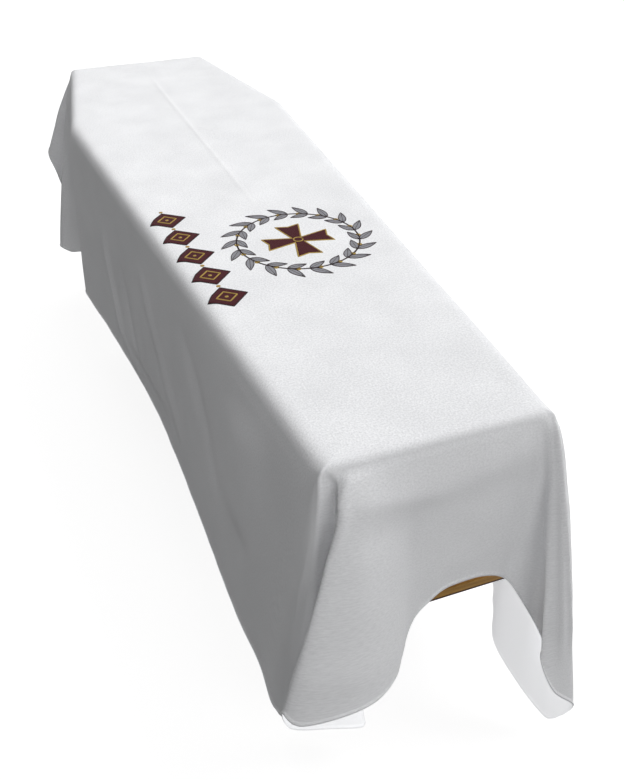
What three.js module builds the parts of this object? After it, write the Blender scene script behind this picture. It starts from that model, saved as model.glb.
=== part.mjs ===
// A white drape laid over a closed six-sided coffin.
// Millimetres, +Z up, +Y towards the head end. The origin is the middle of the coffin's underside.
// The coffin is eight plain boards. The drape is one sheet of cloth with its hem: flat on the lid,
// rounded over the lid's edges, and hanging in the folds that its corners make.

import * as THREE from 'three';

// Driving dimensions of the draped top, measured on the outside of the cloth
const LENGTH = 1930;
const FOOT_WIDTH = 370;
const SHOULDER_WIDTH = 560;
const HEAD_WIDTH = 398;
const SHOULDER_FROM_HEAD = 494.5;

// Coffin
const COFFIN_HEIGHT = 341;
const LID_INSET = 5;            // from the hanging cloth to the edge of the lid and of the base
const BODY_INSET = 11;          // from the hanging cloth to the outside of the walls
const WALL_THICKNESS = 16;
const BASE_THICKNESS = 18;
const LID_THICKNESS = 30;
const LID_ROUNDING = 26;
const LID_ROUNDING_STEPS = 4;
const JOINT_GAP = 0.3;

// Cloth
const CLOTH_THICKNESS = 2;
const CLOTH_TOP = COFFIN_HEIGHT + JOINT_GAP + CLOTH_THICKNESS;
const EDGE_ROWS = 3;            // rows of faces round the edge of the lid
const HANGING_ROWS = 8;         // rows of faces from there to the hem
const ROW_CROWDING = 1.35;      // above 1 sets the rows closer together near the edge
const BULGE_GAIN = 2.6;         // makes belly and sway the full bulge, a third of the way down
const TUCK_START = 428;         // how far below the top the cloth may start to swing under the coffin
const TUCK_SLOPE = 0.35;

// Corners of the draped top, with y counted from the foot edge
const SHOULDER_Y = LENGTH - SHOULDER_FROM_HEAD;
const CORNERS = {
  footRight: [FOOT_WIDTH / 2, 0],
  footLeft: [-FOOT_WIDTH / 2, 0],
  shoulderLeft: [-SHOULDER_WIDTH / 2, SHOULDER_Y],
  headLeft: [-HEAD_WIDTH / 2, LENGTH],
  headRight: [HEAD_WIDTH / 2, LENGTH],
  shoulderRight: [SHOULDER_WIDTH / 2, SHOULDER_Y],
};

// The six sides in order, clockwise seen from above. bend is how far the cloth's rounding over
// the edge of the lid reaches, inwards and downwards.
const SIDES = [
  { name: 'foot', from: 'footRight', to: 'footLeft', bend: 16 },
  { name: 'left', from: 'footLeft', to: 'shoulderLeft', bend: 30 },
  { name: 'leftHead', from: 'shoulderLeft', to: 'headLeft', bend: 26 },
  { name: 'head', from: 'headLeft', to: 'headRight', bend: 18 },
  { name: 'rightHead', from: 'headRight', to: 'shoulderRight', bend: 26 },
  { name: 'right', from: 'shoulderRight', to: 'footRight', bend: 28 },
];

// The hanging cloth, one row for each section of it. along is where the section leaves the edge of
// the lid, in mm from the start of its side. x and y are where its hem hangs, with y counted from
// the foot edge, and drop is how far below the top. belly and sway are how far the section bulges
// outwards and along its side on its way down, and steps is the number of columns of faces up to
// the next section.
const SECTIONS = table(['side', 'along', 'x', 'y', 'drop', 'belly', 'sway', 'steps'], [
  // foot, with its hem in an arch
  ['foot', 84, 126, -13, 313, 4, 0, 2],
  ['foot', 108, 92, -13, 299, 5, 0, 2],
  ['foot', 138, 60, -13, 297, 5, 0, 2],
  ['foot', 166, 26, -13, 301, 5, 0, 2],
  ['foot', 190, 2, -14, 316, 5, 0, 2],
  // left foot corner: a flap that laps over the side, and the corner folded in behind it
  ['foot', 215, -23, -16, 338, 5, 0, 2],
  ['foot', 236, -40, -20, 374, 6, 0, 2],
  ['foot', 254, -52, -30, 410, 7, 0, 2],
  ['foot', 271, -66, -43, 442, 8, 0, 2],
  ['foot', 288, -104, -57, 462, 11, 0, 2],
  ['foot', 302, -164, -64, 463, 15, 0, 2],
  ['foot', 314, -236, -58, 458, 19, 4, 2],
  ['foot', 323, -258, -42, 434, 20, 6, 3],
  ['foot', 333, -238, -26, 506, 15, 4, 3],
  ['foot', 342, -172, -22, 548, 10, 0, 3],
  ['foot', 350, -106, -18, 582, 5, 0, 2],
  ['foot', 356, -104, 6, 586, 0, 0, 2],
  ['foot', 361, -150, 9, 572, 0, 0, 2],
  ['foot', 367, -206, 0, 560, 0, 0, 2],
  // left side
  ['left', 12, -234, 66, 582, 4, 0, 2],
  ['left', 70, -230, 160, 577, 6, 0, 2],
  ['left', 200, -236, 270, 571, 6, 0, 2],
  ['left', 400, -235, 440, 560, 4, 0, 2],
  ['left', 640, -232, 660, 543, 0, 0, 2],
  ['left', 900, -236, 905, 527, -2, 0, 2],
  ['left', 1150, -258, 1150, 510, 0, 0, 2],
  ['left', 1330, -281, 1330, 499, 0, 0, 2],
  ['left', 1405, -294, 1440, 498, 2, 0, 2],
  // left shoulder, with one fold that stands past it
  ['left', 1430, -298, 1508, 500, 4, 0, 2],
  ['leftHead', 20, -270, 1512, 502, 0, 0, 2],
  ['leftHead', 60, -246, 1560, 512, 0, 0, 2],
  ['leftHead', 200, -240, 1720, 532, 0, 0, 2],
  ['leftHead', 290, -240, 1802, 544, 0, 0, 2],
  ['leftHead', 360, -252, 1862, 550, 0, 0, 2],
  // left head corner, hanging in a cone
  ['leftHead', 450, -286, 1907, 565, 4, 0, 2],
  ['leftHead', 480, -314, 1946, 557, 8, 0, 2],
  ['leftHead', 496, -275, 2000, 592, 6, 0, 3],
  ['head', 2, -258, 2010, 470, 8, 0, 2],
  ['head', 10, -280, 2000, 336, 9, -8, 2],
  ['head', 22, -292, 2010, 262, 10, -10, 2],
  ['head', 50, -222, 2032, 232, 8, 0, 2],
  // head
  ['head', 110, -110, 1972, 214, 3, 0, 2],
  ['head', 199, 0, 1942, 210, 0, 0, 2],
  ['head', 288, 112, 1974, 214, 3, 0, 2],
  // right head corner
  ['head', 350, 222, 2034, 232, 8, 0, 2],
  ['head', 378, 284, 2020, 262, 10, 6, 2],
  ['head', 390, 276, 2022, 350, 10, 4, 2],
  ['head', 396, 250, 2018, 500, 8, 0, 3],
  ['rightHead', 4, 268, 1995, 590, 6, 0, 2],
  ['rightHead', 22, 304, 1935, 558, 8, 0, 2],
  ['rightHead', 60, 290, 1880, 555, 6, 0, 2],
  ['rightHead', 150, 248, 1800, 545, 2, 0, 2],
  ['rightHead', 300, 250, 1660, 525, 0, 0, 2],
  // right shoulder
  ['rightHead', 440, 262, 1540, 508, 0, 0, 2],
  ['rightHead', 482, 286, 1500, 502, 2, 0, 2],
  ['right', 6, 312, 1468, 499, 4, 0, 2],
  ['right', 32, 304, 1400, 497, 2, 0, 2],
  // right side
  ['right', 110, 280, 1310, 498, 0, 0, 2],
  ['right', 300, 262, 1130, 508, 0, 0, 2],
  ['right', 560, 256, 880, 524, 0, 0, 2],
  ['right', 820, 236, 620, 540, 0, 0, 2],
  ['right', 1050, 240, 400, 556, 0, 0, 2],
  ['right', 1220, 260, 205, 566, 4, 0, 2],
  ['right', 1320, 234, 130, 576, 4, 0, 2],
  ['right', 1385, 198, 66, 588, 0, 0, 2],
  // right foot corner: a rounded column with a deep valley beside the foot
  ['right', 1420, 206, -10, 620, 0, 0, 3],
  ['right', 1427, 226, -64, 650, 9, 0, 2],
  ['right', 1433, 238, -84, 648, 12, 0, 2],
  ['foot', 4, 256, -106, 594, 19, 0, 2],
  ['foot', 11, 210, -98, 540, 10, 0, 2],
  ['foot', 19, 182, -80, 463, 4, -6, 2],
  ['foot', 30, 209, -57, 473, 0, -4, 2],
  ['foot', 44, 196, -26, 430, 2, 0, 2],
  ['foot', 64, 152, -13, 344, 4, 0, 2],
]);

function table(columns, rows) {
  return rows.map((row) => Object.fromEntries(columns.map((column, k) => [column, row[k]])));
}

const WOOD = { color: 0x785f3a, roughness: 0.55, metalness: 0 };
const CLOTH = { color: 0xe6e7e9, roughness: 0.9, metalness: 0 };

// A side's start, direction, length and outward normal, seen from above
function sideFrame(side) {
  const start = new THREE.Vector2(...CORNERS[side.from]);
  const end = new THREE.Vector2(...CORNERS[side.to]);
  const direction = end.clone().sub(start);
  const length = direction.length();
  direction.divideScalar(length);
  const normal = new THREE.Vector2(-direction.y, direction.x);
  return { start, direction, length, normal };
}

// The corner points of the outline when each side moves in by inset(side), named as in CORNERS
function insetCorners(inset) {
  const corners = {};
  SIDES.forEach((side, k) => {
    const next = SIDES[(k + 1) % SIDES.length];
    const [a, b] = [sideFrame(side), sideFrame(next)];
    const reachA = a.normal.dot(a.start) - inset(side);
    const reachB = b.normal.dot(b.start) - inset(next);
    const cross = a.normal.cross(b.normal);
    corners[side.to] = new THREE.Vector2(
      (reachA * b.normal.y - reachB * a.normal.y) / cross,
      (reachB * a.normal.x - reachA * b.normal.x) / cross,
    );
  });
  return corners;
}

// The outline moved in by one distance, as points centred on the coffin
function outline(inset) {
  const corners = insetCorners(() => inset);
  return SIDES.map((side) => corners[side.from].clone().sub(new THREE.Vector2(0, LENGTH / 2)));
}

function triangles(points, faces) {
  const geometry = new THREE.BufferGeometry();
  geometry.setAttribute('position', new THREE.Float32BufferAttribute(points.flat(), 3));
  geometry.setIndex(faces.flat());
  geometry.computeVertexNormals();
  return geometry;
}

// A closed solid through level rings of equal count, listed from the lowest to the highest
function loft(rings) {
  const count = rings[0].points.length;
  const points = rings.flatMap((ring) => ring.points.map((p) => [p.x, p.y, ring.z]));
  const faces = [];
  for (let level = 0; level < rings.length - 1; level += 1) {
    for (let k = 0; k < count; k += 1) {
      const a = level * count + k;
      const b = level * count + ((k + 1) % count);
      faces.push([a, a + count, b], [b, a + count, b + count]);
    }
  }
  const top = (rings.length - 1) * count;
  for (let k = 1; k < count - 1; k += 1) {
    faces.push([0, k, k + 1], [top, top + k + 1, top + k]);
  }
  return triangles(points, faces);
}

function board(inset, bottom, top) {
  return loft([{ points: outline(inset), z: bottom }, { points: outline(inset), z: top }]);
}

// The lid, with its upper edge rounded off
function lidGeometry() {
  const rings = [{ points: outline(LID_INSET), z: COFFIN_HEIGHT - LID_THICKNESS }];
  for (let step = 0; step <= LID_ROUNDING_STEPS; step += 1) {
    const angle = (step / LID_ROUNDING_STEPS) * (Math.PI / 2);
    const inset = LID_INSET + LID_ROUNDING * (1 - Math.cos(angle));
    rings.push({ points: outline(inset), z: COFFIN_HEIGHT - LID_ROUNDING * (1 - Math.sin(angle)) });
  }
  return loft(rings);
}

// One wall, mitred at both ends with the joint gap taken off each end
function wallGeometry(index) {
  const outer = outline(BODY_INSET);
  const inner = outline(BODY_INSET + WALL_THICKNESS);
  const next = (index + 1) % SIDES.length;
  const trim = sideFrame(SIDES[index]).direction.multiplyScalar(JOINT_GAP);
  const points = [
    outer[index].clone().add(trim),
    outer[next].clone().sub(trim),
    inner[next].clone().sub(trim),
    inner[index].clone().add(trim),
  ];
  return loft([
    { points, z: BASE_THICKNESS + JOINT_GAP },
    { points, z: COFFIN_HEIGHT - LID_THICKNESS - JOINT_GAP },
  ]);
}

// A smooth closed curve through list, at share t of the way from entry i to the next
function through(list, i, t) {
  const at = (k) => list[(k + list.length) % list.length];
  const [p0, p1, p2, p3] = [at(i - 1), at(i), at(i + 1), at(i + 2)];
  return p1.map((value, k) => {
    const slope = p2[k] - p0[k];
    const square = 2 * p0[k] - 5 * value + 4 * p2[k] - p3[k];
    const cube = 3 * (value - p2[k]) + p3[k] - p0[k];
    return value + 0.5 * t * (slope + t * (square + t * cube));
  });
}

// One section's guide points: where it leaves the flat top, the edge, the hem, and its outward normal
function sectionGuides(section, topCorners) {
  const side = SIDES.find((entry) => entry.name === section.side);
  const { start, direction, length, normal } = sideFrame(side);
  const share = section.along / length;
  const lip = topCorners[side.from].clone().lerp(topCorners[side.to], share);
  const edge = start.addScaledVector(direction, section.along);
  return {
    lip: [lip.x, lip.y],
    edge: [edge.x, edge.y],
    hem: [section.x, section.y, -section.drop],
    normal: [normal.x, normal.y],
    shape: [section.belly, section.sway, side.bend],
  };
}

// Moves a point of the cloth out to the coffin's side where it would pass into the coffin. Below
// the coffin the cloth may swing inwards.
function keepOutside(point) {
  const tuck = Math.max(0, -point.z - TUCK_START) * TUCK_SLOPE;
  const plan = new THREE.Vector2(point.x, point.y);
  const reaches = SIDES.map((side) => {
    const { start, normal } = sideFrame(side);
    return { normal, out: normal.dot(plan) - normal.dot(start) };
  });
  const nearest = reaches.reduce((a, b) => (b.out > a.out ? b : a));
  const push = Math.max(0, -tuck - nearest.out);
  return point.add(new THREE.Vector3(nearest.normal.x * push, nearest.normal.y * push, 0));
}

// One column of the cloth's outer face, from the flat top to the hem
function clothColumn(guides, i, t) {
  const pick = (name) => through(guides.map((guide) => guide[name]), i, t);
  const [belly, sway, bend] = pick('shape');
  const lip = new THREE.Vector3(...pick('lip'), 0);
  const edge = new THREE.Vector3(...pick('edge'), 0);
  const hem = new THREE.Vector3(...pick('hem'));
  const outward = new THREE.Vector3(...pick('normal'), 0).normalize();
  const sideways = new THREE.Vector3(outward.y, -outward.x, 0);
  const bulge = outward.clone().multiplyScalar(belly).addScaledVector(sideways, sway);
  const below = edge.clone().lerp(hem, bend / edge.distanceTo(hem));
  const round = new THREE.QuadraticBezierCurve3(lip, edge, below);
  const column = [];
  for (let row = 0; row < EDGE_ROWS; row += 1) {
    column.push(round.getPoint(row / EDGE_ROWS));
  }
  for (let row = 0; row <= HANGING_ROWS; row += 1) {
    const share = (row / HANGING_ROWS) ** ROW_CROWDING;
    const reach = BULGE_GAIN * Math.sqrt(share) * (1 - share);
    column.push(keepOutside(below.clone().lerp(hem, share).addScaledVector(bulge, reach)));
  }
  return column;
}

// The cloth's inner face: each point of the outer one moved inwards by the cloth's thickness
function innerFace(columns) {
  const count = columns.length;
  return columns.map((column, k) => column.map((point, row) => {
    if (row === 0) return point.clone().setZ(point.z - CLOTH_THICKNESS);
    const across = columns[(k + 1) % count][row].clone().sub(columns[(k + count - 1) % count][row]);
    const down = column[Math.min(row + 1, column.length - 1)].clone().sub(column[row - 1]);
    const normal = across.cross(down).normalize();
    return point.clone().addScaledVector(normal, -CLOTH_THICKNESS);
  }));
}

// The drape: outer face, inner face, their flat tops, and the hem's edge between them
function drapeGeometry() {
  const bends = Object.fromEntries(SIDES.map((side) => [side.name, side.bend]));
  const topCorners = insetCorners((side) => bends[side.name]);
  const guides = SECTIONS.map((section) => sectionGuides(section, topCorners));
  const outer = SECTIONS.flatMap((section, i) => (
    Array.from({ length: section.steps }, (_, k) => clothColumn(guides, i, k / section.steps))
  ));
  const inner = innerFace(outer);

  const columns = outer.length;
  const rows = outer[0].length;
  const points = [outer, inner].flatMap((face) => face.flatMap((column) => column.map((p) => (
    [p.x, p.y - LENGTH / 2, p.z + CLOTH_TOP]
  ))));
  const outside = (k, row) => (k % columns) * rows + row;
  const inside = (k, row) => columns * rows + outside(k, row);
  const faces = [];
  for (let k = 0; k < columns; k += 1) {
    for (let row = 0; row < rows - 1; row += 1) {
      const corners = (face) => [face(k, row), face(k + 1, row), face(k + 1, row + 1), face(k, row + 1)];
      const [a, b, c, d] = corners(outside);
      const [e, f, g, h] = corners(inside);
      faces.push([a, b, c], [a, c, d], [e, g, f], [e, h, g]);
    }
    const [a, b] = [outside(k, rows - 1), outside(k + 1, rows - 1)];
    const [e, f] = [inside(k, rows - 1), inside(k + 1, rows - 1)];
    faces.push([a, b, f], [a, f, e]);
  }
  const rim = outer.map((column) => new THREE.Vector2(column[0].x, column[0].y));
  THREE.ShapeUtils.triangulateShape(rim, []).forEach(([i, j, k]) => {
    faces.push([outside(i, 0), outside(j, 0), outside(k, 0)]);
    faces.push([inside(i, 0), inside(k, 0), inside(j, 0)]);
  });
  return triangles(points, faces);
}

function addMesh(group, name, geometry, look) {
  const mesh = new THREE.Mesh(geometry, new THREE.MeshStandardMaterial(look));
  mesh.name = name;
  group.add(mesh);
}

const coffin = new THREE.Group();
addMesh(coffin, 'base', board(LID_INSET, 0, BASE_THICKNESS), WOOD);
SIDES.forEach((side, index) => {
  addMesh(coffin, `wall_${side.name}`, wallGeometry(index), WOOD);
});
addMesh(coffin, 'lid', lidGeometry(), WOOD);

const drapedCoffin = new THREE.Group();
drapedCoffin.add(coffin);
addMesh(drapedCoffin, 'drape', drapeGeometry(), CLOTH);

export default drapedCoffin;
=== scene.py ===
import math
from collections import namedtuple

import bpy
import numpy as np
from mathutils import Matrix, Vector, geometry, noise
from mathutils.bvhtree import BVHTree


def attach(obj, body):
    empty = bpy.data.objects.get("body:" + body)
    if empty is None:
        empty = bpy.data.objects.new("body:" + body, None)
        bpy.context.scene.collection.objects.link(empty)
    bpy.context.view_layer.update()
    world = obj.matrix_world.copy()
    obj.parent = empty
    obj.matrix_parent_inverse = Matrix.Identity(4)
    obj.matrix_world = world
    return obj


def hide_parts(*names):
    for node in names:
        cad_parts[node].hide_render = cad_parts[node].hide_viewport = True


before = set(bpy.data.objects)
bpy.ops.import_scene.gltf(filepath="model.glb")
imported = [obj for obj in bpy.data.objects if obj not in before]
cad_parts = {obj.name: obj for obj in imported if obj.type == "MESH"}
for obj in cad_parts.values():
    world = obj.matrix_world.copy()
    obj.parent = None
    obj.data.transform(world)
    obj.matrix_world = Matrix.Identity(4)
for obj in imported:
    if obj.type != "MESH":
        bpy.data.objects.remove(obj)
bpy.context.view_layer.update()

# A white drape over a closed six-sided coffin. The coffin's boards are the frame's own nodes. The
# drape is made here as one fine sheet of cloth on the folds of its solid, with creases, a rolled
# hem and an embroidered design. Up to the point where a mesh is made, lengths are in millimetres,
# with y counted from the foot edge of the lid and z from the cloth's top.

MM = 0.001
UP = (0.0, 0.0, 1.0)

# Driving dimensions of the draped top, measured on the outside of the cloth, as on the solids
LENGTH = 1930
FOOT_WIDTH = 370
SHOULDER_WIDTH = 560
HEAD_WIDTH = 398
SHOULDER_TO_HEAD = 494.5
SHOULDER_Y = LENGTH - SHOULDER_TO_HEAD
CLOTH_TOP = 343.3

# How the hanging cloth bulges, and from what depth and how fast it may hang in under the coffin
BULGE_GAIN = 2.6
TUCK_START = 428
TUCK_SLOPE = 0.35

# The fine sheet. The rows of its hem are placed by shares of the hem's width
SHEET_THICKNESS = 1.3
HEM_THICKNESS = 3
HEM_WIDTH = 8
HEM_PROUD = 1.2
HEM_ROLL_SHARE = 0.95
HEM_ROWS = np.array([1, 0.85, 0.4, 0])
ROWS_END_ABOVE_HEM = 1.5
COLUMN_SPACING = 9.5
EDGE_ROWS = 8
HANGING_ROWS = 34
HANGING_CROWDING = 1.2
TOP_SPACING = 15
TOP_REACH = 280
TOP_START = 20
FOLD_COLUMNS = [-9, -6, -3, 0, 3, 6, 9]

# Material slots of the sheet's faces
OUTER_LOOK = 0
INNER_LOOK = 1

# Settings for filling an outline with triangles
MERGE_DISTANCE = 1e-4
INSIDE_ONLY = 1

# Small uneven swells: heights, and lengths across and along the flat cloth. The cloth swells more
# where it hangs, and fully from the slack depth on.
EVEN_SWELL = 0.35
WIDE_SWELL = 1.6
WIDE_SIZE = (160, 130)
WIDE_SEED = 3.7
TALL_SWELL = 1.8
TALL_SIZE = (260, 70)
TALL_SEED = 9.1
SLACK_DEPTH = 200

# Embroidery. Its places are on the flat cloth, with y counted from the foot edge
STITCH_SPACING = 3.2
CLEAR_SHARE = 0.4
SINK = 0.5
FIELD_HEIGHT = 0.9
FIELD_EDGE = 0.1
CROWN_REACH = 1.5
CORD_HEIGHT = 0.9
FEWEST_SIDES = 10

CROSS_WAIST = 9
CROSS_REACH = 66
CROSS_FLARE = 24
CROSS_NOTCH = 7
CROSS_CORD = 3.2
BOSS_RADIUS = 9
BOSS_CORD = 2.6

WREATH_CENTRE = (28, 640)
WREATH_RADIUS = 118
WREATH_CORD = 3.4
LEAF_PAIRS = 18
LEAF_LENGTH = 46
LEAF_WIDTH = 15
LEAF_HEIGHT = 0.72
LEAF_POINTS = 9
LEAF_FULLNESS = 0.8
LEAF_CORD = 1.5
RIB_CORD = 1.6
RIB_SHARES = (0.05, 0.3, 0.6, 0.88)
BUD_RADIUS = 5.2

LOZENGE_COUNT = 5
LOZENGE_FIRST = 478
LOZENGE_MIDDLE = -132
LOZENGE_SLANT = -0.066
LOZENGE_HALF_WIDTH = 38
LOZENGE_HALF_LENGTH = 35
LOZENGE_GAP = 14
LOZENGE_CORD = 2.6
LOZENGE_INNER_SHARE = 0.5
LOZENGE_INNER_CORD = 3.0
LOZENGE_DOT = 5.5
TIP_DOT = 4.2

# The two leaves of a pair: how far each leans off the wreath's run, and its share of full length
Leaf = namedtuple("Leaf", "lean share")
LEAVES = [Leaf(0.62, 1.0), Leaf(-0.62, 0.84)]

# A cord's section: how far across it each point lies, as a share of its width, and its height
CORD_SECTION = [
    (-0.5, -SINK), (-0.5, FIELD_EDGE), (-0.25, CORD_HEIGHT),
    (0.25, CORD_HEIGHT), (0.5, FIELD_EDGE), (0.5, -SINK),
]

# Threads, with the dark and light ends of their colours from 0 to 255
Thread = namedtuple("Thread", "name dark light")
THREADS = [
    Thread("maroon", (46, 2, 10), (80, 6, 22)),
    Thread("gold", (120, 92, 38), (204, 176, 92)),
    Thread("foot_shade", (92, 92, 96), (168, 168, 174)),
    Thread("dark", (24, 16, 18), (62, 44, 44)),
]
THREAD_PITCH = 1.4
THREAD_WANDER = 1.2

# The cloth's and the wood's looks. Colours are linear for the cloth and from 0 to 255 for the wood
CLOTH_LIGHT = (0.96, 0.965, 0.98)
CLOTH_DARK = (0.68, 0.685, 0.7)
# Painted light: the inner face glows evenly, in place of light that shines through the cloth
BACK_PAINTED_GLOW = 0.45
WEAVE_PITCH = 1.6
SPECKLE_SHARE = 0.7
SLUB_SHARE = 0.1
CLOUD_SHARE = 0.2
# Painted light: the speckle is strongest where the cloth faces up, as light on the top brings out the
# weave
UPRIGHT_CONTRAST = 0.4
# Painted shade: the top is darker towards the foot edge, over this reach
FOOT_PAINTED_SHADE = 0.07
FOOT_PAINTED_SHADE_REACH = 900
WOOD_DARK = (52, 20, 20)
WOOD_LIGHT = (190, 146, 76)
ARRIS_WIDTH = 3.5
ARRIS_DARKNESS = 0.6

# The stage
FLOOR_LEVEL = -332
FLOOR_SIZE = 40000
FLOOR_COLOUR = (0.28, 0.28, 0.28, 1)
FLOOR_GLOW = 0.86
WHITE = (1, 1, 1, 1)
WORLD_STRENGTH = 0.05
LIGHT_ANGLE = 50

# Large soft lights, each by the way it lies from the coffin, and its strength
Light = namedtuple("Light", "name towards strength")
LIGHTS = [
    Light("key_right", (1, 0, 1), 2.5),
    Light("back", (0, 1, 1), 1.4),
    Light("front_left", (-1, -1, 0.2), 0.9),
    Light("front", (0.25, -1, 0.3), 0.93),
]

# The camera, fitted to the edges of the top: its place in metres and its turn in degrees
CAMERA_PLACE = (-0.52194, -1.81331, 1.12007)
CAMERA_TURN = (54.5418, 0, -21.2356)
CAMERA_LENS = 42
CAMERA_SENSOR = 36

CORNERS = {
    "foot_right": (FOOT_WIDTH / 2, 0),
    "foot_left": (-FOOT_WIDTH / 2, 0),
    "shoulder_left": (-SHOULDER_WIDTH / 2, SHOULDER_Y),
    "head_left": (-HEAD_WIDTH / 2, LENGTH),
    "head_right": (HEAD_WIDTH / 2, LENGTH),
    "shoulder_right": (SHOULDER_WIDTH / 2, SHOULDER_Y),
}

# The lid's sides. bend is how far the cloth's rounding over the edge reaches, inwards and downwards
Side = namedtuple("Side", "start end bend")
SIDES = {
    "foot": Side("foot_right", "foot_left", 16),
    "left": Side("foot_left", "shoulder_left", 30),
    "left_head": Side("shoulder_left", "head_left", 26),
    "head": Side("head_left", "head_right", 18),
    "right_head": Side("head_right", "shoulder_right", 26),
    "right": Side("shoulder_right", "foot_right", 28),
}

# The hanging cloth, one row for each section of it, as on the solid. along is where the section
# leaves the edge of the lid, from the start of its side. x, y and drop are where its hem hangs.
# belly and sway are how far it bulges outwards and along its side on its way down.
Section = namedtuple("Section", "side along x y drop belly sway")
SECTIONS = [Section(*row) for row in (
    # Foot, with its hem in an arch
    ("foot", 84, 126, -13, 313, 4, 0),
    ("foot", 108, 92, -13, 299, 5, 0),
    ("foot", 138, 60, -13, 297, 5, 0),
    ("foot", 166, 26, -13, 301, 5, 0),
    ("foot", 190, 2, -14, 316, 5, 0),
    # Left foot corner: a flap that laps over the side, and the corner folded in behind it
    ("foot", 215, -23, -16, 338, 5, 0),
    ("foot", 236, -40, -20, 374, 6, 0),
    ("foot", 254, -52, -30, 410, 7, 0),
    ("foot", 271, -66, -43, 442, 8, 0),
    ("foot", 288, -104, -57, 462, 11, 0),
    ("foot", 302, -164, -64, 463, 15, 0),
    ("foot", 314, -236, -58, 458, 19, 4),
    ("foot", 323, -258, -42, 434, 20, 6),
    ("foot", 333, -238, -26, 506, 15, 4),
    ("foot", 342, -172, -22, 548, 10, 0),
    ("foot", 350, -106, -18, 582, 5, 0),
    ("foot", 356, -104, 6, 586, 0, 0),
    ("foot", 361, -150, 9, 572, 0, 0),
    ("foot", 367, -206, 0, 560, 0, 0),
    # Left side
    ("left", 12, -234, 66, 582, 4, 0),
    ("left", 70, -230, 160, 577, 6, 0),
    ("left", 200, -236, 270, 571, 6, 0),
    ("left", 400, -235, 440, 560, 4, 0),
    ("left", 640, -232, 660, 543, 0, 0),
    ("left", 900, -236, 905, 527, -2, 0),
    ("left", 1150, -258, 1150, 510, 0, 0),
    ("left", 1330, -281, 1330, 499, 0, 0),
    ("left", 1405, -294, 1440, 498, 2, 0),
    # Left shoulder, with one fold that stands past it
    ("left", 1430, -298, 1508, 500, 4, 0),
    ("left_head", 20, -270, 1512, 502, 0, 0),
    ("left_head", 60, -246, 1560, 512, 0, 0),
    ("left_head", 200, -240, 1720, 532, 0, 0),
    ("left_head", 290, -240, 1802, 544, 0, 0),
    ("left_head", 360, -252, 1862, 550, 0, 0),
    # Left head corner, hanging in a cone
    ("left_head", 450, -286, 1907, 565, 4, 0),
    ("left_head", 480, -314, 1946, 557, 8, 0),
    ("left_head", 496, -275, 2000, 592, 6, 0),
    ("head", 2, -258, 2010, 470, 8, 0),
    ("head", 10, -280, 2000, 336, 9, -8),
    ("head", 22, -292, 2010, 262, 10, -10),
    ("head", 50, -222, 2032, 232, 8, 0),
    # Head
    ("head", 110, -110, 1972, 214, 3, 0),
    ("head", 199, 0, 1942, 210, 0, 0),
    ("head", 288, 112, 1974, 214, 3, 0),
    # Right head corner
    ("head", 350, 222, 2034, 232, 8, 0),
    ("head", 378, 284, 2020, 262, 10, 6),
    ("head", 390, 276, 2022, 350, 10, 4),
    ("head", 396, 250, 2018, 500, 8, 0),
    ("right_head", 4, 268, 1995, 590, 6, 0),
    ("right_head", 22, 304, 1935, 558, 8, 0),
    ("right_head", 60, 290, 1880, 555, 6, 0),
    ("right_head", 150, 248, 1800, 545, 2, 0),
    ("right_head", 300, 250, 1660, 525, 0, 0),
    # Right shoulder
    ("right_head", 440, 262, 1540, 508, 0, 0),
    ("right_head", 482, 286, 1500, 502, 2, 0),
    ("right", 6, 312, 1468, 499, 4, 0),
    ("right", 32, 304, 1400, 497, 2, 0),
    # Right side
    ("right", 110, 280, 1310, 498, 0, 0),
    ("right", 300, 262, 1130, 508, 0, 0),
    ("right", 560, 256, 880, 524, 0, 0),
    ("right", 820, 236, 620, 540, 0, 0),
    ("right", 1050, 240, 400, 556, 0, 0),
    ("right", 1220, 260, 205, 566, 4, 0),
    ("right", 1320, 234, 130, 576, 4, 0),
    ("right", 1385, 198, 66, 588, 0, 0),
    # Right foot corner: a rounded column with a deep valley beside the foot
    ("right", 1420, 206, -10, 620, 0, 0),
    ("right", 1427, 226, -64, 650, 9, 0),
    ("right", 1433, 238, -84, 648, 12, 0),
    ("foot", 4, 256, -106, 594, 19, 0),
    ("foot", 11, 210, -98, 540, 10, 0),
    ("foot", 19, 182, -80, 463, 4, -6),
    ("foot", 30, 209, -57, 473, 0, -4),
    ("foot", 44, 196, -26, 430, 2, 0),
    ("foot", 64, 152, -13, 344, 4, 0),
)]

# A guide holds what a section gives, as numbers in a row, and these are their places in it
LIP = slice(0, 2)
EDGE = slice(2, 4)
HEM = slice(4, 7)
OUTWARD = slice(7, 9)
BELLY = 9
SWAY = 10
BEND = 11

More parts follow.
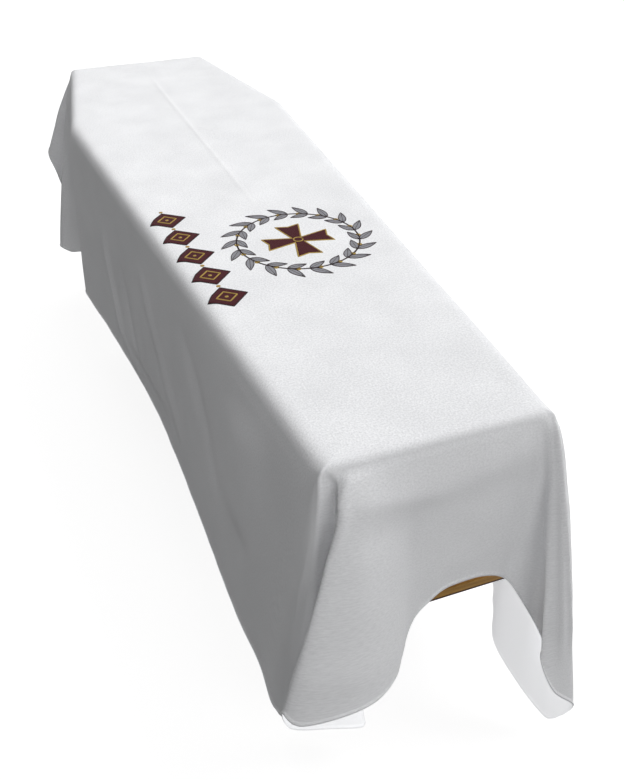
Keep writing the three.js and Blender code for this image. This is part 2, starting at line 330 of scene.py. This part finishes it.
# Soft creases and ridges in the sheet. Their points are on the flat cloth: x, and y counted from
# the foot edge, both running on past the lid's edges by the length of cloth that hangs there. Each
# fades in and out over a quarter of its length.
CREASE_FADE = 4
Crease = namedtuple("Crease", "points width height")
CREASES = [
    # The centre press fold, and a cross fold that barely shows
    Crease([(0, 1900), (0, 1500), (2, 1000), (0, 700)], 6, 1.0),
    Crease([(-170, 1466), (170, 1462)], 5, 0.3),
    # Foot: the swell under the lid's edge, its lower line, the trough below and the flap's shoulder
    Crease([(-190, -60), (-80, -74), (0, -78), (100, -66), (190, -52)], 38, 5.0),
    Crease([(-116, -70), (-80, -78), (-40, -84), (30, -96)], 11, 1.6),
    Crease([(-112, -128), (-70, -140), (-20, -150)], 32, -2.5),
    Crease([(-104, -84), (-99, -170), (-94, -250), (-88, -330)], 11, 1.5),
    # Foot: long soft bands that fan out from the right corner
    Crease([(140, -40), (124, -132), (108, -221), (84, -290)], 13, 2.2),
    Crease([(150, -70), (140, -160), (132, -240)], 12, -1.6),
    Crease([(120, -190), (77, -236), (34, -246), (-8, -258)], 10, 0.8),
    Crease([(52, -180), (14, -228), (-24, -281)], 11, 0.7),
    # Foot: the sharp crease under the left corner, and the flap's edge that stands up beside it
    Crease([(-150, -14), (-143, -36), (-131, -58), (-122, -82), (-122, -112), (-125, -170)], 4, -9.5),
    Crease([(-140, -18), (-135, -36), (-122, -60), (-112, -90), (-112, -120), (-114, -160)], 4, 2.5),
    # Foot: the rounded column's ridge at the right corner
    Crease([(152, -60), (149, -104), (141, -161), (138, -273), (133, -399), (129, -520)], 8, 3.5),
    # The flap's small crease and its dent
    Crease([(-99, -396), (-94, -412), (-90, -428)], 5, 1.2),
    Crease([(-112, -408), (-104, -424)], 6, -0.9),
    # Top: faint wrinkles near the right edge
    Crease([(118, 424), (150, 420), (186, 408)], 5, 0.5),
    Crease([(104, 380), (140, 375), (172, 374)], 5, 0.45),
    Crease([(134, 545), (152, 536), (176, 524)], 5, 0.4),
    Crease([(120, 446), (140, 440), (160, 440)], 4, -0.35),
    # Left side, near the shoulder
    Crease([(-400, 1178), (-481, 1186), (-571, 1162), (-684, 1109), (-752, 975)], 22, 9.0),
    Crease([(-440, 1060), (-560, 1030), (-700, 960)], 20, -4.0),
    # Left side, long and soft
    Crease([(-330, 900), (-470, 800), (-577, 720), (-690, 600)], 28, 5.0),
    Crease([(-300, 640), (-449, 440), (-600, 300)], 34, -5.0),
    Crease([(-250, 250), (-400, 225), (-560, 205)], 75, 9.0),
    # Right side, long and soft
    Crease([(380, 1150), (470, 1080), (600, 1000)], 26, 3.0),
    Crease([(330, 760), (440, 700), (560, 560)], 30, -2.6),
    Crease([(290, 420), (400, 330), (560, 260)], 28, 2.6),
]


def side_frame(name):
    """A side's start, direction, length and outward normal, seen from above."""
    side = SIDES[name]
    start, end = np.array(CORNERS[side.start], float), np.array(CORNERS[side.end], float)
    length = np.linalg.norm(end - start)
    direction = (end - start) / length
    return start, direction, length, np.array([-direction[1], direction[0]])


def lip_corners():
    """The corners of the part that lies flat, where the cloth starts to round over the edge."""
    names, corners = list(SIDES), {}
    for name, following in zip(names, names[1:] + names[:1]):
        starts, _, _, normals = zip(side_frame(name), side_frame(following))
        bends = (SIDES[name].bend, SIDES[following].bend)
        reaches = [normal @ start - bend for normal, start, bend in zip(normals, starts, bends)]
        corners[SIDES[name].end] = np.linalg.solve(normals, reaches)
    return corners


def section_guides():
    """A guide for each section, in the order that LIP to BEND give."""
    corners, rows = lip_corners(), []
    for s in SECTIONS:
        side = SIDES[s.side]
        start, direction, length, normal = side_frame(s.side)
        share = s.along / length
        lip = corners[side.start] * (1 - share) + corners[side.end] * share
        edge = start + direction * s.along
        rows.append([*lip, *edge, s.x, s.y, -s.drop, *normal, s.belly, s.sway, side.bend])
    return np.array(rows)


def through(guides, i, t):
    """A smooth closed curve through the guides, at share t of the way from guide i to the next."""
    p0, p1, p2, p3 = (guides[(i + k) % len(guides)] for k in (-1, 0, 1, 2))
    second = 2 * p0 - 5 * p1 + 4 * p2 - p3
    third = 3 * (p1 - p2) + p3 - p0
    return p1 + 0.5 * t * (p2 - p0 + t * (second + t * third))


def fine_columns():
    """The guides of every column of the fine sheet, all round the coffin."""
    guides, columns = section_guides(), []
    for i, guide in enumerate(guides):
        step = guides[(i + 1) % len(guides)] - guide
        longest = max(np.linalg.norm(step[EDGE]), np.linalg.norm(step[HEM]))
        count = max(2, math.ceil(longest / COLUMN_SPACING))
        columns += [through(guides, i, k / count) for k in range(count)]
    return np.array(columns)


def keep_outside(points):
    """Points that would pass into the coffin, moved out to its nearest side."""
    tuck = np.maximum(0, -points[..., 2] - TUCK_START) * TUCK_SLOPE
    starts, _, _, normals = zip(*(side_frame(name) for name in SIDES))
    outs = [points[..., :2] @ normal - start @ normal for start, normal in zip(starts, normals)]
    outs = np.stack(outs, -1)
    push = np.maximum(0, -tuck - outs.max(-1))
    points[..., :2] += np.array(normals)[outs.argmax(-1)] * push[..., None]
    return points


def hanging_shares(length):
    """Where the rows below the edge lie on a column, crowded near the edge and at the hem."""
    hem = HEM_WIDTH / length
    main = np.linspace(0, 1, HANGING_ROWS) ** HANGING_CROWDING * (1 - ROWS_END_ABOVE_HEM * hem)
    return np.concatenate([main, 1 - HEM_ROWS * hem])


def skirt():
    """The hanging cloth's outer face: columns of points, their flat places and how far the hem is."""
    points, flat, hem_distance = [], [], []
    for guide in fine_columns():
        lip = np.array([*guide[LIP], 0])
        edge = np.array([*guide[EDGE], 0])
        hem = guide[HEM]
        outward = np.array([*guide[OUTWARD], 0]) / np.linalg.norm(guide[OUTWARD])
        sideways = np.array([outward[1], -outward[0], 0])
        fall = np.linalg.norm(hem - edge)
        below = edge + (hem - edge) * guide[BEND] / fall
        t = np.linspace(0, 1, EDGE_ROWS, endpoint=False)[:, None]
        rounding = (1 - t) ** 2 * lip + 2 * t * (1 - t) * edge + t * t * below
        share = hanging_shares(fall - guide[BEND])[:, None]
        belly = outward * guide[BELLY] + sideways * guide[SWAY]
        bulge = belly * BULGE_GAIN * np.sqrt(share) * (1 - share)
        column = np.vstack([rounding, keep_outside(below + (hem - below) * share + bulge)])
        run = np.concatenate([[0], np.cumsum(np.linalg.norm(np.diff(column, axis=0), axis=1))])
        points.append(column)
        flat.append(lip[:2] + outward[:2] * run[:, None])
        hem_distance.append(run[-1] - run)
    return np.array(points), np.array(flat), np.array(hem_distance)


def grid_normals(points):
    """The outward normal at each point of the hanging cloth."""
    across = np.roll(points, -1, 0) - np.roll(points, 1, 0)
    down = np.gradient(points, axis=1)
    normals = np.cross(across, down)
    return normals / np.linalg.norm(normals, axis=-1, keepdims=True)


def distance_to_line(points, line):
    """Distance from each flat point to a polyline, and how far along it, from 0 to 1."""
    line = np.array(line, float)
    lengths = np.linalg.norm(np.diff(line, axis=0), axis=1)
    before = np.concatenate([[0], np.cumsum(lengths)])
    best, along = np.full(points.shape[:-1], np.inf), np.zeros(points.shape[:-1])
    for a, b, length, start in zip(line, line[1:], lengths, before):
        t = np.clip(((points - a) @ (b - a)) / length ** 2, 0, 1)
        gap = np.linalg.norm(points - a - t[..., None] * (b - a), axis=-1)
        along = np.where(gap < best, (start + t * length) / before[-1], along)
        best = np.minimum(gap, best)
    return best, along


def swell(place, size, seed):
    """Smooth noise over the flat cloth, with swells of the given size."""
    return noise.noise(Vector((place[0] / size[0], place[1] / size[1], seed)))


def relief(flat, depth):
    """How far the sheet stands proud of its plain folds. depth is how far below the lid it is."""
    height = np.zeros(flat.shape[:-1])
    for crease in CREASES:
        gap, along = distance_to_line(flat, crease.points)
        fade = np.clip(np.minimum(along, 1 - along) * CREASE_FADE, 0, 1)
        height += crease.height * np.exp(-(gap / crease.width) ** 2) * fade * fade * (3 - 2 * fade)
    slack = np.clip(depth / SLACK_DEPTH, 0, 1)
    for index in np.ndindex(height.shape):
        wide = swell(flat[index], WIDE_SIZE, WIDE_SEED)
        tall = swell(flat[index], TALL_SIZE, TALL_SEED)
        height[index] += EVEN_SWELL * wide + slack[index] * (WIDE_SWELL * wide + TALL_SWELL * tall)
    return height


def top_places():
    """Places inside the flat part of the cloth, closer together across the centre fold."""
    beside = np.arange(TOP_START, TOP_REACH, TOP_SPACING)
    xs = np.concatenate([-beside[::-1], FOLD_COLUMNS, beside])
    grid = np.array([(x, y) for x in xs for y in np.arange(TOP_SPACING, LENGTH, TOP_SPACING)])
    room = np.full(len(grid), np.inf)
    corners = lip_corners()
    for name, side in SIDES.items():
        normal = side_frame(name)[3]
        room = np.minimum(room, (corners[side.start] - grid) @ normal)
    return grid[room > TOP_SPACING / 2]


def loop_edges(count):
    """The edges of a closed line through a number of points."""
    return [(k, (k + 1) % count) for k in range(count)]


def triangulated(outline, inner):
    """Places and faces that fill a closed outline, using the inner places too."""
    places = [Vector(p) for p in [*outline, *inner]]
    edges = loop_edges(len(outline))
    found = geometry.delaunay_2d_cdt(places, edges, [], INSIDE_ONLY, MERGE_DISTANCE)
    return np.array([tuple(p) for p in found[0]]), [tuple(face) for face in found[2]]


def sheet_mesh():
    """The sheet: its points, outer face first, their flat places, its faces and their looks."""
    points, flat, hem_distance = skirt()
    columns, rows = points.shape[:2]
    normals = grid_normals(points)
    normals[:, 0] = UP
    rolled = hem_distance < HEM_WIDTH * HEM_ROLL_SHARE
    rolled[:, -1] = False
    height = relief(flat, -points[..., 2]) + np.where(rolled, HEM_PROUD, 0)
    points += normals * height[..., None]

    top_flat, top_faces = triangulated(flat[:, 0], top_places())
    top_flat = top_flat[columns:]
    top = np.column_stack([top_flat, relief(top_flat, np.zeros(len(top_flat)))])

    outer = np.vstack([points.reshape(-1, 3), top])
    away = np.vstack([normals.reshape(-1, 3), np.tile(UP, (len(top), 1))])
    thickness = np.full(len(outer), float(SHEET_THICKNESS))
    thickness[:columns * rows][rolled.ravel()] = HEM_THICKNESS
    inner = outer - away * thickness[:, None]
    places = np.vstack([flat.reshape(-1, 2), top_flat])
    faces, looks = sheet_faces(columns, rows, outer, top_faces)
    return np.vstack([outer, inner]), np.vstack([places, places]), faces, looks


def sheet_faces(columns, rows, outer, top_faces):
    """Faces of the hanging cloth and the top, each with the inner face behind it, and the hem."""
    count = len(outer)

    def spot(k, row):
        """The number of a point of the hanging cloth, counted round the coffin."""
        return (k % columns) * rows + row

    outside = []
    for k in range(columns):
        for row in range(rows - 1):
            outside.append((spot(k, row), spot(k + 1, row), spot(k + 1, row + 1), spot(k, row + 1)))
    numbers = [spot(k, 0) for k in range(columns)] + list(range(columns * rows, count))
    for face in top_faces:
        corners = [numbers[p] for p in face]
        a, b, c = (outer[p][:2] for p in corners[:3])
        if (b[0] - a[0]) * (c[1] - a[1]) < (b[1] - a[1]) * (c[0] - a[0]):
            corners.reverse()
        outside.append(tuple(corners))

    faces = []
    for face in outside:
        faces += [face, tuple(count + p for p in reversed(face))]
    looks = [OUTER_LOOK, INNER_LOOK] * len(outside)
    for k in range(columns):
        a, b = spot(k, rows - 1), spot(k + 1, rows - 1)
        faces.append((a, b, count + b, count + a))
        looks.append(OUTER_LOOK)
    return faces, looks


def add_piece(name, points, faces, materials, looks=None):
    """A smooth mesh piece in metres, in the frame's axes, that rides on the one body."""
    placed = (np.asarray(points, float) + (0, -LENGTH / 2, CLOTH_TOP)) * MM
    mesh = bpy.data.meshes.new(name)
    mesh.from_pydata(placed.tolist(), [], faces)
    for material in materials:
        mesh.materials.append(material)
    if looks is not None:
        mesh.polygons.foreach_set("material_index", looks)
    mesh.polygons.foreach_set("use_smooth", [True] * len(faces))
    piece = bpy.data.objects.new(name, mesh)
    bpy.context.scene.collection.objects.link(piece)
    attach(piece, "root")
    return piece


def add_flat_map(piece, places):
    """Stores where each point lies on the flat cloth, in metres, as a UV map."""
    layer = piece.data.uv_layers.new(name="FlatCloth")
    corners = np.zeros(len(piece.data.loops), int)
    piece.data.loops.foreach_get("vertex_index", corners)
    layer.data.foreach_set("uv", (np.asarray(places)[corners] * MM).ravel())


def spaced(path, spacing, closed=False):
    """Points along a path at an even spacing."""
    path = np.array([*path, path[0]] if closed else path, float)
    lengths = np.linalg.norm(np.diff(path, axis=0), axis=1)
    points = []
    for a, b, length in zip(path, path[1:], lengths):
        count = max(1, round(length / spacing))
        points += [a + (b - a) * k / count for k in range(count)]
    return np.array(points if closed else [*points, path[-1]])


def is_inside(point, outline):
    """Whether a point lies inside a closed outline."""
    u, v = point
    crossings = 0
    for (u0, v0), (u1, v1) in zip(outline, np.roll(outline, -1, 0)):
        if (v0 > v) != (v1 > v) and u < u0 + (v - v0) / (v1 - v0) * (u1 - u0):
            crossings += 1
    return crossings % 2 == 1


def edge_distance(point, outline):
    """How far a point lies from a closed outline."""
    following = np.roll(outline, -1, 0) - outline
    t = np.clip(((point - outline) * following).sum(1) / (following ** 2).sum(1), 0, 1)
    return np.linalg.norm(outline + following * t[:, None] - point, axis=1).min()


def turned(points, angle, centre):
    """Points turned by an angle and moved to a centre."""
    c, s = math.cos(angle), math.sin(angle)
    return [(centre[0] + u * c - v * s, centre[1] + u * s + v * c) for u, v in points]


def at_angle(radius, angle, centre):
    """The point at a distance from a centre, in the direction of an angle."""
    return centre[0] + radius * math.cos(angle), centre[1] + radius * math.sin(angle)


def circle(radius, centre):
    """Evenly spaced points round a centre."""
    count = max(FEWEST_SIDES, round(2 * math.pi * radius / STITCH_SPACING))
    return [at_angle(radius, 2 * math.pi * k / count, centre) for k in range(count)]


def cross_outline():
    """The flared cross: four arms round its middle, each with a notched end."""
    arm = [
        (CROSS_WAIST, -CROSS_WAIST), (CROSS_REACH, -CROSS_FLARE),
        (CROSS_REACH - CROSS_NOTCH, 0), (CROSS_REACH, CROSS_FLARE),
    ]
    return [p for k in range(4) for p in turned(arm, k * math.pi / 2, WREATH_CENTRE)]


def leaf_outline(length, width):
    """A pointed leaf that lies along the first axis from its stem."""
    share = np.linspace(0, 1, LEAF_POINTS)
    half = width / 2 * np.sin(math.pi * share ** LEAF_FULLNESS)
    right = [(length * t, h) for t, h in zip(share, half)]
    return right + [(length * t, -h) for t, h in zip(share[-2:0:-1], half[-2:0:-1])]


def lozenge_outline(share, centre):
    """A lozenge, or a smaller one inside it, turned with the slant of the left edge."""
    wide, long = LOZENGE_HALF_WIDTH * share, LOZENGE_HALF_LENGTH * share
    return turned([(wide, 0), (0, long), (-wide, 0), (0, -long)], -LOZENGE_SLANT, centre)


class Surface:
    """The sheet's outer face, found from places on the flat cloth."""

    def __init__(self, points, places, faces):
        count = len(points) // 2
        self.triangles = []
        for face in faces:
            if max(face) < count:
                self.triangles.append(face[:3])
                if len(face) == 4:
                    self.triangles.append((face[0], *face[2:]))
        self.points = [Vector(p) for p in points[:count]]
        self.places = [Vector((*p, 0)) for p in places[:count]]
        self.tree = BVHTree.FromPolygons(self.places, self.triangles)

    def raised(self, place, height):
        """The point at a height above a place on the cloth."""
        spot, _, index, _ = self.tree.find_nearest(Vector((*place, 0)))
        flat = [self.places[k] for k in self.triangles[index]]
        solid = [self.points[k] for k in self.triangles[index]]
        normal = (solid[1] - solid[0]).cross(solid[2] - solid[0]).normalized()
        if normal.z < 0:
            normal.negate()
        return geometry.barycentric_transform(spot, *flat, *solid) + normal * height


class Stitching:
    """One colour of embroidery, as closed raised shapes that lie on the sheet."""

    def __init__(self, surface):
        self.surface = surface
        self.points = []
        self.places = []
        self.faces = []

    def add(self, places, heights, faces):
        start = len(self.points)
        self.points += [self.surface.raised(p, h) for p, h in zip(places, heights)]
        self.places += [tuple(p) for p in places]
        self.faces += [tuple(start + k for k in face) for face in faces]

    def cord(self, path, width, closed=False, lift=0.0):
        """A rounded line of stitches along a path, lifted where it lies on a field."""
        path = np.array(path, float)
        count, size = len(path), len(CORD_SECTION)
        ahead = np.roll(path, -1, 0) - np.roll(path, 1, 0) if closed else np.gradient(path, axis=0)
        side = np.column_stack([-ahead[:, 1], ahead[:, 0]]) / np.linalg.norm(ahead, axis=1)[:, None]
        places = [p + n * width * across for p, n in zip(path, side) for across, _ in CORD_SECTION]
        heights = [height + lift * (height > 0) for _, height in CORD_SECTION] * count
        faces = []
        for k in range(count if closed else count - 1):
            here, following = k * size, (k + 1) % count * size
            faces += [(here + a, here + b, following + b, following + a) for a, b in loop_edges(size)]
        if not closed:
            faces.append(tuple(reversed(range(size))))
            faces.append(tuple(range((count - 1) * size, count * size)))
        self.add(places, heights, faces)

    def border(self, outline, width, lift=0.0):
        """A cord all round an outline."""
        self.cord(spaced(outline, STITCH_SPACING, True), width, True, lift)

    def fill(self, outline, height):
        """A field of satin stitch, crowned in the middle and closed underneath."""
        outline = spaced(outline, STITCH_SPACING, True)
        across, up = (np.arange(*ends, STITCH_SPACING) for ends in zip(outline.min(0), outline.max(0)))
        grid = [np.array((u, v)) for u in across for v in up]
        clear = STITCH_SPACING * CLEAR_SHARE
        inner = [p for p in grid if is_inside(p, outline) and edge_distance(p, outline) > clear]
        places, faces = triangulated(outline, inner)
        count = len(places)
        crown = [1 - math.exp(-edge_distance(p, outline) / CROWN_REACH) for p in places]
        heights = [FIELD_EDGE + height * share for share in crown] + [-SINK] * count
        under = [tuple(count + k for k in reversed(face)) for face in faces]
        rim = [(b, a, count + a, count + b) for a, b in loop_edges(len(outline))]
        self.add([*places, *places], heights, faces + under + rim)


def sew_cross(field, border):
    """A cross with a cord round it and a ring on its middle."""
    outline = cross_outline()
    field.fill(outline, FIELD_HEIGHT)
    border.border(outline, CROSS_CORD)
    border.cord(circle(BOSS_RADIUS, WREATH_CENTRE), BOSS_CORD, True, FIELD_HEIGHT)


def sew_wreath(leaves, lines, buds):
    """A ring with pairs of leaves, each with a rib and a cord round it, and a bud between pairs."""
    lines.cord(circle(WREATH_RADIUS, WREATH_CENTRE), WREATH_CORD, True)
    for k in range(LEAF_PAIRS):
        angle = 2 * math.pi * k / LEAF_PAIRS
        stem = at_angle(WREATH_RADIUS, angle, WREATH_CENTRE)
        bud = at_angle(WREATH_RADIUS, angle + math.pi / LEAF_PAIRS, WREATH_CENTRE)
        for leaf in LEAVES:
            way = angle + math.pi / 2 - leaf.lean
            length = LEAF_LENGTH * leaf.share
            outline = turned(leaf_outline(length, LEAF_WIDTH), way, stem)
            leaves.fill(outline, LEAF_HEIGHT)
            lines.cord(turned([(length * share, 0) for share in RIB_SHARES], way, stem), RIB_CORD)
            lines.border(outline, LEAF_CORD)
        buds.fill(circle(BUD_RADIUS, bud), FIELD_HEIGHT)


def sew_lozenges(field, border, inner):
    """A row of lozenges along the left edge, with dots in them and between their tips."""
    for k in range(LOZENGE_COUNT):
        y = LOZENGE_FIRST + k * (2 * LOZENGE_HALF_LENGTH + LOZENGE_GAP)
        centre = (LOZENGE_MIDDLE + LOZENGE_SLANT * y, y)
        outline = lozenge_outline(1.0, centre)
        field.fill(outline, FIELD_HEIGHT)
        border.border(outline, LOZENGE_CORD)
        inner.border(lozenge_outline(LOZENGE_INNER_SHARE, centre), LOZENGE_INNER_CORD, FIELD_HEIGHT)
        inner.fill(circle(LOZENGE_DOT, centre), FIELD_HEIGHT * 2)
        beyond = LOZENGE_HALF_LENGTH + LOZENGE_GAP / 2
        tip = turned([(0, beyond)], -LOZENGE_SLANT, centre)[0]
        inner.fill(circle(TIP_DOT, tip), FIELD_HEIGHT)


def add_embroidery(surface):
    """A wreath of leaves round a flared cross on the top, and lozenges down the left edge."""
    stitchings = [Stitching(surface) for _ in THREADS]
    maroon, gold, foot_shade, dark = stitchings
    sew_cross(maroon, gold)
    sew_wreath(foot_shade, dark, gold)
    sew_lozenges(maroon, dark, gold)
    pieces = []
    for thread, stitching in zip(THREADS, stitchings):
        material = thread_material(thread)
        piece = add_piece("embroidery_" + thread.name, stitching.points, stitching.faces, [material])
        add_flat_map(piece, stitching.places)
        pieces.append(piece)
    return pieces


def linear(channels):
    """Linear colour from the 0 to 255 channels that a picture shows."""
    return tuple(((c / 255 + 0.055) / 1.055) ** 2.4 if c > 10 else c / 255 / 12.92 for c in channels)


class Nodes:
    """Adds shader nodes to a new material and joins them."""

    def __init__(self, name, roughness):
        self.material = bpy.data.materials.new(name)
        self.material.use_nodes = True
        self.tree = self.material.node_tree
        self.shader = self.tree.nodes["Principled BSDF"]
        self.set("Roughness", roughness)

    def set(self, socket, value):
        self.shader.inputs[socket].default_value = value

    def join(self, output, socket):
        self.tree.links.new(output, self.shader.inputs[socket])

    def add(self, kind, sockets=None, **settings):
        node = self.tree.nodes.new(kind)
        for key, value in settings.items():
            setattr(node, key, value)
        for key, value in (sockets or {}).items():
            if isinstance(value, bpy.types.NodeSocket):
                self.tree.links.new(value, node.inputs[key])
            else:
                node.inputs[key].default_value = value
        return node

    def math(self, operation, *values):
        sockets = dict(enumerate(values))
        return self.add("ShaderNodeMath", sockets, operation=operation).outputs[0]

    def blend(self, factor, low, high, start=0.0, end=1.0):
        """A colour that runs from low to high as the factor goes from start to end."""
        ramp = self.add("ShaderNodeValToRGB", {"Fac": factor})
        ramp.color_ramp.elements[0].position = start
        ramp.color_ramp.elements[1].position = end
        ramp.color_ramp.elements[0].color = (*low, 1)
        ramp.color_ramp.elements[1].color = (*high, 1)
        return ramp.outputs["Color"]

    def noise(self, vector, scale, detail=2, roughness=0.5):
        sockets = {"Vector": vector, "Scale": scale, "Detail": detail, "Roughness": roughness}
        return self.add("ShaderNodeTexNoise", sockets).outputs["Fac"]

    def stretched(self, vector, scale):
        return self.add("ShaderNodeMapping", {"Vector": vector, "Scale": scale}).outputs["Vector"]

    def parts(self, vector):
        return self.add("ShaderNodeSeparateXYZ", {"Vector": vector}).outputs

    def flat_place(self):
        """Where a point lies on the flat cloth, in metres."""
        return self.add("ShaderNodeUVMap", uv_map="FlatCloth").outputs["UV"]

    def bump(self, height, strength, distance):
        sockets = {"Height": height, "Strength": strength, "Distance": distance}
        self.join(self.add("ShaderNodeBump", sockets).outputs["Normal"], "Normal")


def threads(n, place, pitch):
    """Height of a plain weave: threads of the given pitch that go over and under each other."""
    parts = n.parts(place)
    turns = 2 * math.pi / (pitch * MM)
    warp, weft = (n.math("SINE", n.math("MULTIPLY", parts[axis], turns)) for axis in ("X", "Y"))
    return n.math("MULTIPLY", warp, weft)


def thread_material(thread):
    """Rows of satin stitch that wander a little."""
    n = Nodes("Thread" + thread.name.capitalize(), roughness=0.55)
    place = n.flat_place()
    wander = n.math("MULTIPLY", n.noise(place, scale=300), THREAD_WANDER * MM)
    across = n.math("ADD", n.parts(place)["Y"], wander)
    rows = n.math("SINE", n.math("MULTIPLY", across, 2 * math.pi / (THREAD_PITCH * MM)))
    level = n.math("MULTIPLY_ADD", rows, 0.3, 0.5)
    fuzz = n.math("MULTIPLY", n.noise(place, scale=900), 0.4)
    tone = n.math("MULTIPLY_ADD", level, 0.6, fuzz)
    n.join(n.blend(tone, linear(thread.dark), linear(thread.light)), "Base Color")
    n.bump(level, strength=0.6, distance=0.0005)
    n.set("Specular IOR Level", 0.15)
    return n.material


def cloth_material(name, painted_glow):
    """Matt white plain weave with a fine speckle, faint slubs and broad pale clouds."""
    n = Nodes(name, roughness=0.86)
    place = n.flat_place()
    speckle = n.noise(place, scale=330, roughness=0.7)
    slub = n.noise(n.stretched(place, (1, 5, 1)), scale=60, detail=3)
    cloudy = n.noise(place, scale=9, detail=3)
    tone = n.math("MULTIPLY", speckle, SPECKLE_SHARE)
    tone = n.math("MULTIPLY_ADD", slub, SLUB_SHARE, tone)
    tone = n.math("MULTIPLY_ADD", cloudy, CLOUD_SHARE, tone)

    # Painted light: the speckle shows most where the cloth faces up; painted shade darkens the top
    # near the foot
    normal = n.add("ShaderNodeNewGeometry").outputs["Normal"]
    upward = n.math("MAXIMUM", n.parts(normal)["Z"], 0.0)
    contrast = n.math("MULTIPLY_ADD", upward, 1 - UPRIGHT_CONTRAST, UPRIGHT_CONTRAST)
    tone = n.math("MULTIPLY_ADD", n.math("SUBTRACT", tone, 0.5), contrast, 0.5)
    limits = {"Value": n.parts(place)["Y"], "From Min": FOOT_PAINTED_SHADE_REACH * MM, "From Max": 0.0}
    near = n.add("ShaderNodeMapRange", limits).outputs["Result"]
    # Painted shade on the top, fading out away from the foot edge
    foot_shade = n.math("MULTIPLY", n.math("MULTIPLY", near, upward), FOOT_PAINTED_SHADE)
    tone = n.math("SUBTRACT", tone, foot_shade)
    n.join(n.blend(tone, CLOTH_DARK, CLOTH_LIGHT, start=0.34, end=0.66), "Base Color")

    height = n.math("MULTIPLY_ADD", threads(n, place, WEAVE_PITCH), 0.2, speckle)
    n.bump(height, strength=0.4, distance=0.0008)
    n.set("Sheen Weight", 0.15)
    n.set("Sheen Roughness", 0.5)
    n.set("Specular IOR Level", 0.2)
    # Painted light: an even glow, in place of light that shines through the cloth to its inner face
    if painted_glow:
        n.set("Emission Color", (*CLOTH_LIGHT, 1))
        n.set("Emission Strength", painted_glow)
    return n.material


def wood_material():
    """Satin wood with level grain and a dark line along the lower edge of the boards."""
    n = Nodes("CoffinWood", roughness=0.5)
    where = n.add("ShaderNodeTexCoord").outputs["Object"]
    stretch = n.stretched(where, (3, 3, 40))
    grain = n.noise(stretch, scale=6, detail=6, roughness=0.6)
    fine = n.noise(stretch, scale=60, detail=3, roughness=0.6)
    tone = n.math("ADD", n.math("MULTIPLY", grain, 0.7), n.math("MULTIPLY", fine, 0.3))
    arris = n.math("LESS_THAN", n.parts(where)["Z"], ARRIS_WIDTH * MM)
    tone = n.math("SUBTRACT", tone, n.math("MULTIPLY", arris, ARRIS_DARKNESS))
    n.join(n.blend(tone, linear(WOOD_DARK), linear(WOOD_LIGHT), start=0.05, end=0.75), "Base Color")
    n.bump(fine, strength=0.2, distance=0.0005)
    return n.material


def add_drape():
    points, places, faces, looks = sheet_mesh()
    materials = [cloth_material("DrapeCloth", 0), cloth_material("DrapeClothBack", BACK_PAINTED_GLOW)]
    drape = add_piece("drape_sheet", points, faces, materials, looks)
    add_flat_map(drape, places)
    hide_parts("drape")
    embroidery = add_embroidery(Surface(points, places, faces))


def finish_coffin():
    wood = wood_material()
    for name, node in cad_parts.items():
        if name != "drape":
            node.data.materials.clear()
            node.data.materials.append(wood)


def add_floor():
    bpy.ops.mesh.primitive_plane_add(size=FLOOR_SIZE * MM, location=(0, 0, FLOOR_LEVEL * MM))
    floor = bpy.context.object
    floor.name = "floor"
    n = Nodes("PaleFloor", roughness=0.9)
    n.set("Base Color", FLOOR_COLOUR)
    n.set("Specular IOR Level", 0)
    n.set("Emission Color", WHITE)
    n.set("Emission Strength", FLOOR_GLOW)
    floor.data.materials.append(n.material)
    floor.visible_diffuse = False
    floor.visible_glossy = False


def add_lights():
    world = bpy.data.worlds.new("Studio")
    bpy.context.scene.world = world
    world.use_nodes = True
    background = world.node_tree.nodes["Background"]
    background.inputs["Color"].default_value = WHITE
    background.inputs["Strength"].default_value = WORLD_STRENGTH
    for light in LIGHTS:
        sun = bpy.data.objects.new(light.name, bpy.data.lights.new(light.name, "SUN"))
        sun.data.energy = light.strength
        sun.data.angle = math.radians(LIGHT_ANGLE)
        sun.rotation_euler = Vector(light.towards).to_track_quat("Z", "Y").to_euler()
        bpy.context.scene.collection.objects.link(sun)


def add_camera():
    camera = bpy.data.objects.new("camera", bpy.data.cameras.new("camera"))
    camera.location = CAMERA_PLACE
    camera.rotation_euler = [math.radians(angle) for angle in CAMERA_TURN]
    camera.data.lens = CAMERA_LENS
    camera.data.sensor_width = CAMERA_SENSOR
    bpy.context.scene.collection.objects.link(camera)
    bpy.context.scene.camera = camera


add_drape()
finish_coffin()
add_floor()
add_lights()
add_camera()
bpy.context.scene.view_settings.view_transform = "Standard"
